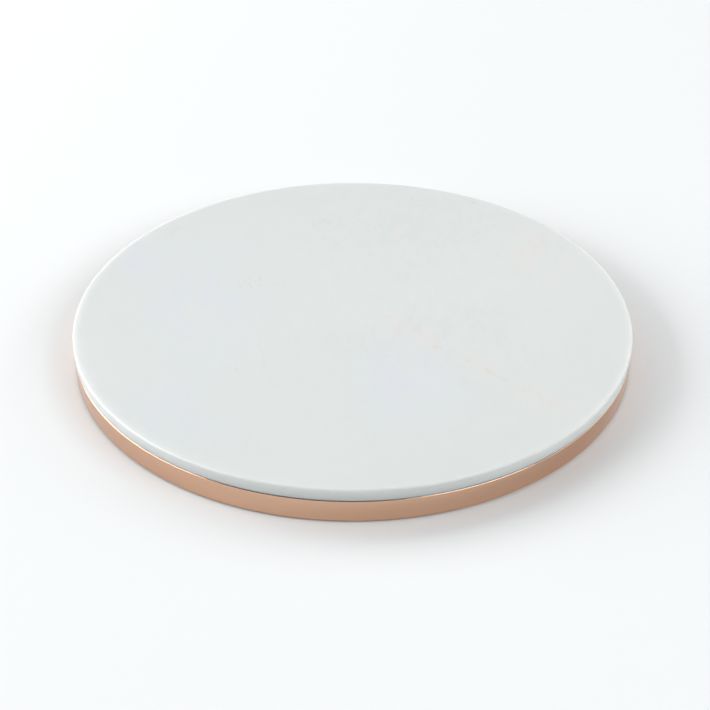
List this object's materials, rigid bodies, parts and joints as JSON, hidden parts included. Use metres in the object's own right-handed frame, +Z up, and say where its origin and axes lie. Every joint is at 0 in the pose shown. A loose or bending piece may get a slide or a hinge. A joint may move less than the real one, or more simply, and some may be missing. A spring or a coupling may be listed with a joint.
{
  "type": "lazy susan turntable",
  "caption": "Round marble turntable with a copper-toned metal band; the top turns without limit on a ring of balls above a flat base plate on rubber feet.",
  "frame": {"origin": "on the spin axis, at the height of the table under the feet", "axes": "+Z up along the spin axis; -Y towards the viewer in normal use; +Y towards the butt seam of the band"},
  "size_m": [0.4064, 0.4064, 0.0268],
  "materials": {
    "marble": "polished pale marble with faint veins",
    "band_copper": "polished copper-toned plating on stainless steel strip",
    "core_board": "sanded wood-fibre board",
    "bond_adhesive": "cured adhesive",
    "race_aluminium": "extruded, satin",
    "ball_steel": "polished bearing steel",
    "cage_nylon": "moulded natural nylon",
    "plate_paint": "fine-textured dark powder coat on pressed steel",
    "clip_steel": "zinc-plated pressed steel",
    "screw_steel": "zinc-plated steel",
    "foot_rubber": "moulded soft rubber"
  },
  "bodies": {
    "base": {"base_plate": "plate_paint", "inner_race": "race_aluminium", "plate_screws": "screw_steel", "foot_1": "foot_rubber", "foot_2": "foot_rubber", "foot_3": "foot_rubber", "foot_4": "foot_rubber", "foot_5": "foot_rubber", "foot_6": "foot_rubber"},
    "ball_cage": {"cage_segment_1": "cage_nylon", "cage_segment_2": "cage_nylon", "cage_segment_3": "cage_nylon", "cage_segment_4": "cage_nylon"},
    "turntable": {"outer_race": "race_aluminium", "core_disc": "core_board", "race_screws": "screw_steel", "edge_band": "band_copper", "band_splice": "clip_steel", "band_clip_1": "clip_steel", "band_clip_2": "clip_steel", "band_clip_3": "clip_steel", "band_clip_4": "clip_steel", "band_clip_5": "clip_steel", "band_clip_6": "clip_steel", "clip_screws": "screw_steel", "bond_pads": "bond_adhesive", "marble_top": "marble"},
    "ball_01_body": {"ball_01": "ball_steel"},
    "ball_02_body": {"ball_02": "ball_steel"},
    "ball_03_body": {"ball_03": "ball_steel"},
    "ball_04_body": {"ball_04": "ball_steel"},
    "ball_05_body": {"ball_05": "ball_steel"},
    "ball_06_body": {"ball_06": "ball_steel"},
    "ball_07_body": {"ball_07": "ball_steel"},
    "ball_08_body": {"ball_08": "ball_steel"},
    "ball_09_body": {"ball_09": "ball_steel"},
    "ball_10_body": {"ball_10": "ball_steel"},
    "ball_11_body": {"ball_11": "ball_steel"},
    "ball_12_body": {"ball_12": "ball_steel"},
    "ball_13_body": {"ball_13": "ball_steel"},
    "ball_14_body": {"ball_14": "ball_steel"},
    "ball_15_body": {"ball_15": "ball_steel"},
    "ball_16_body": {"ball_16": "ball_steel"},
    "ball_17_body": {"ball_17": "ball_steel"},
    "ball_18_body": {"ball_18": "ball_steel"},
    "ball_19_body": {"ball_19": "ball_steel"},
    "ball_20_body": {"ball_20": "ball_steel"},
    "ball_21_body": {"ball_21": "ball_steel"},
    "ball_22_body": {"ball_22": "ball_steel"},
    "ball_23_body": {"ball_23": "ball_steel"},
    "ball_24_body": {"ball_24": "ball_steel"}
  },
  "joints": [
    {"name": "turntable_spin", "type": "hinge", "parent": "base", "child": "turntable", "pos_m": [0, 0, 0.0069], "axis": [0, 0, 1], "continuous": true},
    {"name": "ball_cage_spin", "type": "hinge", "parent": "base", "child": "ball_cage", "pos_m": [0, 0, 0.0069], "axis": [0, 0, 1], "continuous": true},
    {"name": "ball_01_roll", "type": "hinge", "parent": "ball_cage", "child": "ball_01_body", "pos_m": [0.1388, 0.01827, 0.0069], "axis": [0, 0, 1], "continuous": true},
    {"name": "ball_02_roll", "type": "hinge", "parent": "ball_cage", "child": "ball_02_body", "pos_m": [0.12934, 0.05358, 0.0069], "axis": [0, 0, 1], "continuous": true},
    {"name": "ball_03_roll", "type": "hinge", "parent": "ball_cage", "child": "ball_03_body", "pos_m": [0.11107, 0.08523, 0.0069], "axis": [0, 0, 1], "continuous": true},
    {"name": "ball_04_roll", "type": "hinge", "parent": "ball_cage", "child": "ball_04_body", "pos_m": [0.08523, 0.11107, 0.0069], "axis": [0, 0, 1], "continuous": true},
    {"name": "ball_05_roll", "type": "hinge", "parent": "ball_cage", "child": "ball_05_body", "pos_m": [0.05358, 0.12934, 0.0069], "axis": [0, 0, 1], "continuous": true},
    {"name": "ball_06_roll", "type": "hinge", "parent": "ball_cage", "child": "ball_06_body", "pos_m": [0.01827, 0.1388, 0.0069], "axis": [0, 0, 1], "continuous": true},
    {"name": "ball_07_roll", "type": "hinge", "parent": "ball_cage", "child": "ball_07_body", "pos_m": [-0.01827, 0.1388, 0.0069], "axis": [0, 0, 1], "continuous": true},
    {"name": "ball_08_roll", "type": "hinge", "parent": "ball_cage", "child": "ball_08_body", "pos_m": [-0.05358, 0.12934, 0.0069], "axis": [0, 0, 1], "continuous": true},
    {"name": "ball_09_roll", "type": "hinge", "parent": "ball_cage", "child": "ball_09_body", "pos_m": [-0.08523, 0.11107, 0.0069], "axis": [0, 0, 1], "continuous": true},
    {"name": "ball_10_roll", "type": "hinge", "parent": "ball_cage", "child": "ball_10_body", "pos_m": [-0.11107, 0.08523, 0.0069], "axis": [0, 0, 1], "continuous": true},
    {"name": "ball_11_roll", "type": "hinge", "parent": "ball_cage", "child": "ball_11_body", "pos_m": [-0.12934, 0.05358, 0.0069], "axis": [0, 0, 1], "continuous": true},
    {"name": "ball_12_roll", "type": "hinge", "parent": "ball_cage", "child": "ball_12_body", "pos_m": [-0.1388, 0.01827, 0.0069], "axis": [0, 0, 1], "continuous": true},
    {"name": "ball_13_roll", "type": "hinge", "parent": "ball_cage", "child": "ball_13_body", "pos_m": [-0.1388, -0.01827, 0.0069], "axis": [0, 0, 1], "continuous": true},
    {"name": "ball_14_roll", "type": "hinge", "parent": "ball_cage", "child": "ball_14_body", "pos_m": [-0.12934, -0.05358, 0.0069], "axis": [0, 0, 1], "continuous": true},
    {"name": "ball_15_roll", "type": "hinge", "parent": "ball_cage", "child": "ball_15_body", "pos_m": [-0.11107, -0.08523, 0.0069], "axis": [0, 0, 1], "continuous": true},
    {"name": "ball_16_roll", "type": "hinge", "parent": "ball_cage", "child": "ball_16_body", "pos_m": [-0.08523, -0.11107, 0.0069], "axis": [0, 0, 1], "continuous": true},
    {"name": "ball_17_roll", "type": "hinge", "parent": "ball_cage", "child": "ball_17_body", "pos_m": [-0.05358, -0.12934, 0.0069], "axis": [0, 0, 1], "continuous": true},
    {"name": "ball_18_roll", "type": "hinge", "parent": "ball_cage", "child": "ball_18_body", "pos_m": [-0.01827, -0.1388, 0.0069], "axis": [0, 0, 1], "continuous": true},
    {"name": "ball_19_roll", "type": "hinge", "parent": "ball_cage", "child": "ball_19_body", "pos_m": [0.01827, -0.1388, 0.0069], "axis": [0, 0, 1], "continuous": true},
    {"name": "ball_20_roll", "type": "hinge", "parent": "ball_cage", "child": "ball_20_body", "pos_m": [0.05358, -0.12934, 0.0069], "axis": [0, 0, 1], "continuous": true},
    {"name": "ball_21_roll", "type": "hinge", "parent": "ball_cage", "child": "ball_21_body", "pos_m": [0.08523, -0.11107, 0.0069], "axis": [0, 0, 1], "continuous": true},
    {"name": "ball_22_roll", "type": "hinge", "parent": "ball_cage", "child": "ball_22_body", "pos_m": [0.11107, -0.08523, 0.0069], "axis": [0, 0, 1], "continuous": true},
    {"name": "ball_23_roll", "type": "hinge", "parent": "ball_cage", "child": "ball_23_body", "pos_m": [0.12934, -0.05358, 0.0069], "axis": [0, 0, 1], "continuous": true},
    {"name": "ball_24_roll", "type": "hinge", "parent": "ball_cage", "child": "ball_24_body", "pos_m": [0.1388, -0.01827, 0.0069], "axis": [0, 0, 1], "continuous": true}
  ],
  "couplings": [
    {"joint": "ball_cage_spin", "follows": "turntable_spin", "ratio": 0.5085},
    {"joint": "ball_01_roll", "follows": "turntable_spin", "ratio": 29.403},
    {"joint": "ball_02_roll", "follows": "turntable_spin", "ratio": 29.403},
    {"joint": "ball_03_roll", "follows": "turntable_spin", "ratio": 29.403},
    {"joint": "ball_04_roll", "follows": "turntable_spin", "ratio": 29.403},
    {"joint": "ball_05_roll", "follows": "turntable_spin", "ratio": 29.403},
    {"joint": "ball_06_roll", "follows": "turntable_spin", "ratio": 29.403},
    {"joint": "ball_07_roll", "follows": "turntable_spin", "ratio": 29.403},
    {"joint": "ball_08_roll", "follows": "turntable_spin", "ratio": 29.403},
    {"joint": "ball_09_roll", "follows": "turntable_spin", "ratio": 29.403},
    {"joint": "ball_10_roll", "follows": "turntable_spin", "ratio": 29.403},
    {"joint": "ball_11_roll", "follows": "turntable_spin", "ratio": 29.403},
    {"joint": "ball_12_roll", "follows": "turntable_spin", "ratio": 29.403},
    {"joint": "ball_13_roll", "follows": "turntable_spin", "ratio": 29.403},
    {"joint": "ball_14_roll", "follows": "turntable_spin", "ratio": 29.403},
    {"joint": "ball_15_roll", "follows": "turntable_spin", "ratio": 29.403},
    {"joint": "ball_16_roll", "follows": "turntable_spin", "ratio": 29.403},
    {"joint": "ball_17_roll", "follows": "turntable_spin", "ratio": 29.403},
    {"joint": "ball_18_roll", "follows": "turntable_spin", "ratio": 29.403},
    {"joint": "ball_19_roll", "follows": "turntable_spin", "ratio": 29.403},
    {"joint": "ball_20_roll", "follows": "turntable_spin", "ratio": 29.403},
    {"joint": "ball_21_roll", "follows": "turntable_spin", "ratio": 29.403},
    {"joint": "ball_22_roll", "follows": "turntable_spin", "ratio": 29.403},
    {"joint": "ball_23_roll", "follows": "turntable_spin", "ratio": 29.403},
    {"joint": "ball_24_roll", "follows": "turntable_spin", "ratio": 29.403}
  ]
}
